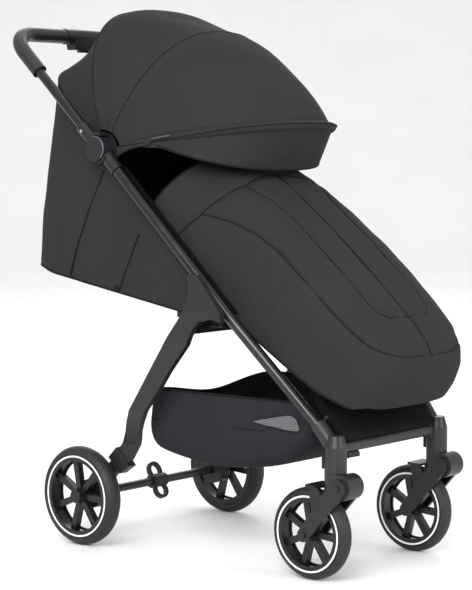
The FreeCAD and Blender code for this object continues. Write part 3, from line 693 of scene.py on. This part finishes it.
def footmuff():
    sewn = [[muff_point(s, u) for s, u in along(line, flip)] for line, flip in SEWN]
    seam_points = np.concatenate([np.array(path) for path in sewn])
    rows = []
    for s in np.linspace(-134, 470, 122):
        row = []
        middle = muff_point(s, 0.5) * 0.5 + (muff_point(s, 0.0) + muff_point(s, 1.0)) * 0.25
        fade = smooth_step((470 - s) / 60) * smooth_step((s + 134) / 25)
        for i in range(129):
            u = i / 128
            point = muff_point(s, u)
            out = point - middle
            out /= max(np.linalg.norm(out), 1e-6)
            gap = np.sqrt(np.min(np.sum((seam_points - point) ** 2, axis=1)))
            valley = -0.0032 * math.exp(-(gap / 0.006) ** 2)
            valley += 0.0012 * math.exp(-((gap - 0.016) / 0.012) ** 2)
            crease = ripple((point[0] * 5, s * 0.012, point[2] * 3), 1.4, 2.0) * 0.0016
            pucker = ripple((u * 30, s * 0.05, 1.0), 1.5) * 0.0007 * math.exp(-(gap / 0.02) ** 2)
            row.append(point + out * ((crease + pucker) * fade + valley))
        rows.append(row)
    # the toe closes to a full rounded end
    foot = (muff_point(470, 0.0) + muff_point(470, 1.0)) / 2
    ahead = np.array((0, -math.cos(MUFF_ANGLE), -math.sin(MUFF_ANGLE))) / 1000
    for shrink, push in ((0.93, 3.5), (0.82, 6.5), (0.66, 9.0), (0.45, 10.5), (0.22, 11.0), (0.001, 11.0)):
        rows.append([lerp(foot, muff_point(470, i / 128), shrink) + ahead * push for i in range(129)])
    # mouth: rolled edge and the lining down the inside
    lining = []
    for s, inset in ((-134, 0.0), (-137, 3.0), (-137.5, 7.0), (-134, 11.0), (-110, 12.0), (-60, 12.0),
                     (40, 12.0), (160, 12.0), (300, 12.0), (420, 12.0), (452, 14.0)):
        lining.append([muff_point(s, i / 96, inset) for i in range(97)])
    outer = grid("footmuff_shell", rows, 0.0, 1)
    inner = grid("footmuff_lining", lining, 0.0, 1)
    place(outer, "chassis", MATERIALS["muff_cloth"])
    place(inner, "chassis", LINING)
    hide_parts("footmuff")
    lines = []
    for (line, flip), r in zip(SEWN, (0.0013, 0.0013, 0.0012, 0.0012, 0.0012, 0.0012, 0.0017)):
        path = [muff_point(s, u, 0, -1.3) for s, u in along(line, flip)]
        lines.append(tube("muff_line", path, r))
    place(joined("muff_seams", lines), "chassis", PIPING)
    edge = tube("muff_mouth_piping", [muff_point(-137, i / 60, 4.0, 0) for i in range(61)], 0.003)
    place(edge, "chassis", PIPING)
    hem = [muff_point(s, 0.0, 0, 0.5) for s in np.linspace(-130, 452, 60)]
    for side, label in ((1, "right"), (-1, "left")):
        path = [p * np.array((side, 1, 1)) for p in hem]
        place(tube("muff_hem_" + label, path, 0.0022), "chassis", PIPING)


# ---------------------------------------------------------------- basket
BASKET_TOP = 0.330
# half width at the rear and the front, rear end, front end, height
BASKET_RIM = (0.188, 0.160, 0.112, -0.276, BASKET_TOP)
BASKET_WAIST = (0.180, 0.156, 0.130, -0.274, 0.256)
BASKET_BOTTOM = (0.140, 0.118, 0.128, -0.190, 0.183)
BASKET_CORNER = 0.03


def basket_ring(level):
    """Rounded outline of the basket at a level from 0 (rim) to 1 (bottom), kept under the calf rest."""
    if level > 0.5:
        turn = (level - 0.5) * math.pi
        parts = [1 - math.cos(turn)] * 4 + [math.sin(turn)]
        size = [lerp(a, b, part) for a, b, part in zip(BASKET_WAIST, BASKET_BOTTOM, parts)]
    else:
        size = [lerp(a, b, level / 0.5) for a, b in zip(BASKET_RIM, BASKET_WAIST)]
    w_rear, w_front, rear, front, z = size
    points = []
    count = 24
    corner = BASKET_CORNER
    corners = [(w_rear, rear), (-w_rear, rear), (-w_front, front), (w_front, front)]
    for k in range(4):
        here = np.array(corners[k])
        after = np.array(corners[(k + 1) % 4])
        along = after - here
        length = np.linalg.norm(along)
        along = along / length
        for i in range(count):
            t = i / count
            spot = here + along * (corner + (length - 2 * corner) * t)
            points.append((spot[0], spot[1] + SHIFT, z))
        bend = after - along * corner
        following = np.array(corners[(k + 2) % 4]) - after
        following = following / np.linalg.norm(following)
        to = after + following * corner
        for i in range(4):
            t = i / 4
            spot = (1 - t) ** 2 * bend + 2 * t * (1 - t) * after + t ** 2 * to
            points.append((spot[0], spot[1] + SHIFT, z))
    points = np.array(points)
    for p in points:
        limit = 0.333 + (p[1] - SHIFT + 0.250) * 0.975 - 0.004
        sag = 0.022 * math.exp(-(p[0] / 0.11) ** 2) if p[1] - SHIFT > 0.10 else 0.0
        rise = 0.026 * (abs(p[1] - SHIFT + 0.04) / 0.17) ** 2 * smooth_step((level - 0.3) / 0.7)
        p[2] = min(p[2] + rise, limit) - sag * (1 - level) ** 2
    return points


def basket():
    rows = []
    for j in range(15):
        t = j / 14
        ring = basket_ring(t)
        for p in ring:
            slack = math.sin(math.pi * t)
            wobble = ripple((p[0] * 5, p[1] * 5, t * 2), 2.4, 5.0)
            fold = ripple((p[0] * 2, (p[1] + p[2]) * 11, 0.5), 2.2, 7.0)
            p[0] += math.copysign(1, p[0]) * (wobble * 0.003 + fold * 0.002) * slack
            p[2] += ripple((p[0] * 4, p[1] * 4, 0), 2.0, 1.0) * 0.003 * slack
        rows.append(ring)
    centre = rows[-1].mean(axis=0)
    for shrink, drop in ((0.8, 0.001), (0.5, 0.002), (0.2, 0.002), (0.02, 0.002)):
        rows.append(centre + (basket_ring(1.0) - centre) * shrink - np.array((0, 0, drop)))
    shell = grid("basket_shell", rows, 0.0016, 1, close=True)
    place(shell, "chassis", MATERIALS["basket_cloth"])
    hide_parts("basket")
    hem = tube("basket_hem", list(basket_ring(0.0)), 0.0026, closed=True)
    seam = tube("basket_seam", list(basket_ring(0.42)), 0.0012, closed=True)
    trims = [hem, seam]
    for obj in trims:
        place(obj, "chassis", PIPING)
    for side, label in ((-1, "right"), (1, "left")):
        rows = []
        for top, low in (((-0.145, 0.2875), (-0.147, 0.2845)), ((-0.198, 0.299), (-0.210, 0.278)),
                         ((-0.244, 0.310), (-0.262, 0.272))):
            rows.append([(side * (0.1700 + (lerp(top[0], low[0], t) + 0.145) * 0.065 + 0.0035),
                          lerp(top[0], low[0], t) + SHIFT, lerp(top[1], low[1], t)) for t in (0, 0.5, 1)])
        net = grid("basket_net_" + label, rows, 0.0012, 2)
        place(net, "chassis", NET)
        trims.append(net)
    for obj in [shell] + trims:
        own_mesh(obj)


# ---------------------------------------------------------------- pads and cloth made from their solids
def softened(node, name, voxel, relax, material, body, swell=0.0):
    """A soft copy of a node's solid: remeshed, relaxed and lightly crumpled."""
    mesh = NODES[node].data.copy()
    obj = bpy.data.objects.new(name, mesh)
    bpy.context.scene.collection.objects.link(obj)
    remesh = obj.modifiers.new("voxels", "REMESH")
    remesh.mode = "VOXEL"
    remesh.voxel_size = voxel
    ease = obj.modifiers.new("ease", "SMOOTH")
    ease.iterations = relax
    ease.factor = 0.5
    apply_modifiers(obj)
    if swell:
        normals = [v.normal.copy() for v in obj.data.vertices]
        for v, nrm in zip(obj.data.vertices, normals):
            v.co += nrm * (swell * (0.6 + 0.6 * ripple(tuple(v.co), 30.0)))
    place(obj, body, material)
    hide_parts(node)
    return obj


def inflated(obj, cap):
    """Cloth simulation of a sewn pad: pressure swells it and the cloth wrinkles; travel is capped."""
    rest = np.array([v.co for v in obj.data.vertices])
    cloth_mod = obj.modifiers.new("cloth", "CLOTH")
    cloth_mod.settings.use_pressure = True
    cloth_mod.settings.uniform_pressure_force = 4.0
    cloth_mod.settings.effector_weights.gravity = 0.0
    cloth_mod.settings.tension_stiffness = 12
    scene = bpy.context.scene
    scene.frame_start = 1
    scene.frame_end = 20
    for f in range(1, 21):
        scene.frame_set(f)
    graph = bpy.context.evaluated_depsgraph_get()
    moved = np.array([v.co for v in obj.evaluated_get(graph).data.vertices])
    obj.modifiers.clear()
    scene.frame_set(1)
    step = moved - rest
    size = np.linalg.norm(step, axis=1, keepdims=True)
    step *= np.minimum(1.0, cap / np.maximum(size, 1e-9))
    obj.data.vertices.foreach_set("co", (rest + step).astype(np.float32).ravel())
    obj.data.update()


def seat():
    pad = softened("seat_pad", "seat_cushion", 0.005, 4, MATERIALS["seat_cloth"], "chassis")
    inflated(pad, 0.005)
    calf = softened("calf_rest", "calf_pad", 0.004, 4, MATERIALS["seat_cloth"],
                    "chassis", 0.0008)
    rails = softened("side_rail_cloth", "side_rail_sleeves", 0.003, 3, LINING,
                     "chassis")
    strips = []
    for x in (-0.062, 0.062):
        rows = []
        for i in range(15):
            y = lerp(0.060, 0.255, i / 14)
            z = 0.490 + (y - 0.009) * 0.167 + 0.0203 + 0.0006 * math.sin(i * 1.3 + x * 40)
            rows.append([(x + dx, y + SHIFT, z) for dx in (-0.017, -0.0085, 0.0, 0.0085, 0.017)])
        strips.append(grid("harness_webbing", rows, -0.0026, 1))
    harness = joined("harness_webbing", strips)
    place(harness, "backrest", MATERIALS["webbing"])
    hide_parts("harness_straps")
    path = [(-0.1555, 0.4392), (-0.161, 0.435), (-0.1665, 0.4285), (-0.170, 0.416), (-0.1725, 0.404),
            (-0.173, 0.396)]
    rows = [[(dx, y + SHIFT, z) for dx in (-0.011, -0.0055, 0.0, 0.0055, 0.011)] for y, z in path]
    strap = grid("adjuster_webbing", rows, 0.0024, 1)
    place(strap, "chassis", MATERIALS["webbing"])
    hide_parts("adjuster_strap")


# ---------------------------------------------------------------- hard nodes: finish and edges
def finish_nodes():
    slots = {row["node"]: row["material_slot"] for row in frame["record"]["subparts"]}
    for name, obj in NODES.items():
        obj.data.materials.clear()
        obj.data.materials.append(MATERIALS[slots[name]])
        if slots[name].endswith("plastic"):
            edge = obj.modifiers.new("edge", "BEVEL")
            edge.width = 0.0008
            edge.segments = 2
            edge.limit_method = "ANGLE"
            edge.angle_limit = math.radians(40)
            edge.use_clamp_overlap = True


def hub_painted_highlight():
    """Bright metal crescents round the front of the handle hubs: a painted highlight for the light on the
    caps' rims.
    """
    for side, label in ((-1, "right"), (1, "left")):
        arc = []
        for i in range(25):
            a = math.radians(lerp(85.0, 225.0, i / 24))
            arc.append((side * 0.2362, HUB[0] + 0.0248 * math.cos(a), HUB[1] + 0.0248 * math.sin(a)))
        place(tube("hub_highlight_crescent_" + label, arc, 0.0011), "handle", TAG)


# ---------------------------------------------------------------- floor, light, camera
# name, place, width in metres and power in watts
LAMPS = [("key", (-3.4, -1.6, 2.6), 2.6, 190.0), ("fill", (0.6, -3.8, 1.6), 2.4, 60.0),
         ("top", (0.2, 0.4, 4.2), 3.5, 25.0), ("back", (2.8, 2.6, 2.6), 2.5, 60.0)]


def stage():
    """White floor that sweeps up behind the stroller, four soft lamps and a white surround."""
    size = 14.0
    rows = []
    for j in range(25):
        row = []
        for i in range(3):
            t = j / 24
            y = -5.0 + size * t
            z = 0.0 if y < 4.0 else (y - 4.0) ** 2 * 0.16
            row.append((size * (i - 1), y, z))
        rows.append(row)
    floor = grid("studio_floor", rows, 0.0, 1)
    mat, tree, shader, coords = new_material("studio_white", (0.86, 0.86, 0.86), 0.7)
    shade(tree, shader, (0.86, 0.86, 0.86), mapped(tree, noise_node(tree, coords, 3.0), 0.985, 1.015))
    floor.data.materials.append(mat)
    floor.rotation_euler = (0, 0, math.radians(-49))
    for name, where, size_m, power in LAMPS:
        lamp = bpy.data.lights.new(name, "AREA")
        lamp.size = size_m
        lamp.energy = power
        obj = bpy.data.objects.new(name, lamp)
        obj.location = where
        obj.rotation_euler = (Vector((0, 0, 0.55)) - Vector(where)).to_track_quat("-Z", "Y").to_euler()
        bpy.context.scene.collection.objects.link(obj)
    world = bpy.data.worlds.new("studio")
    world.use_nodes = True
    world.node_tree.nodes["Background"].inputs["Color"].default_value = (1, 1, 1, 1)
    world.node_tree.nodes["Background"].inputs["Strength"].default_value = 0.85
    bpy.context.scene.world = world
    bpy.context.scene.view_settings.view_transform = "Standard"


def camera():
    data = bpy.data.cameras.new("camera")
    data.lens = 115.7
    data.sensor_width = 36
    obj = bpy.data.objects.new("camera", data)
    obj.location = (-2.9258, -2.4911, 0.8213)
    look = Vector((0.7567, 0.6488, -0.0809))
    obj.rotation_euler = look.to_track_quat("-Z", "Y").to_euler()
    bpy.context.scene.collection.objects.link(obj)
    bpy.context.scene.camera = obj


finish_nodes()
hood()
brim()
visor()
bucket()
footmuff()
basket()
seat()
# painted highlight: bright crescents on the fronts of the hub caps
hub_painted_highlight()
stage()
camera()
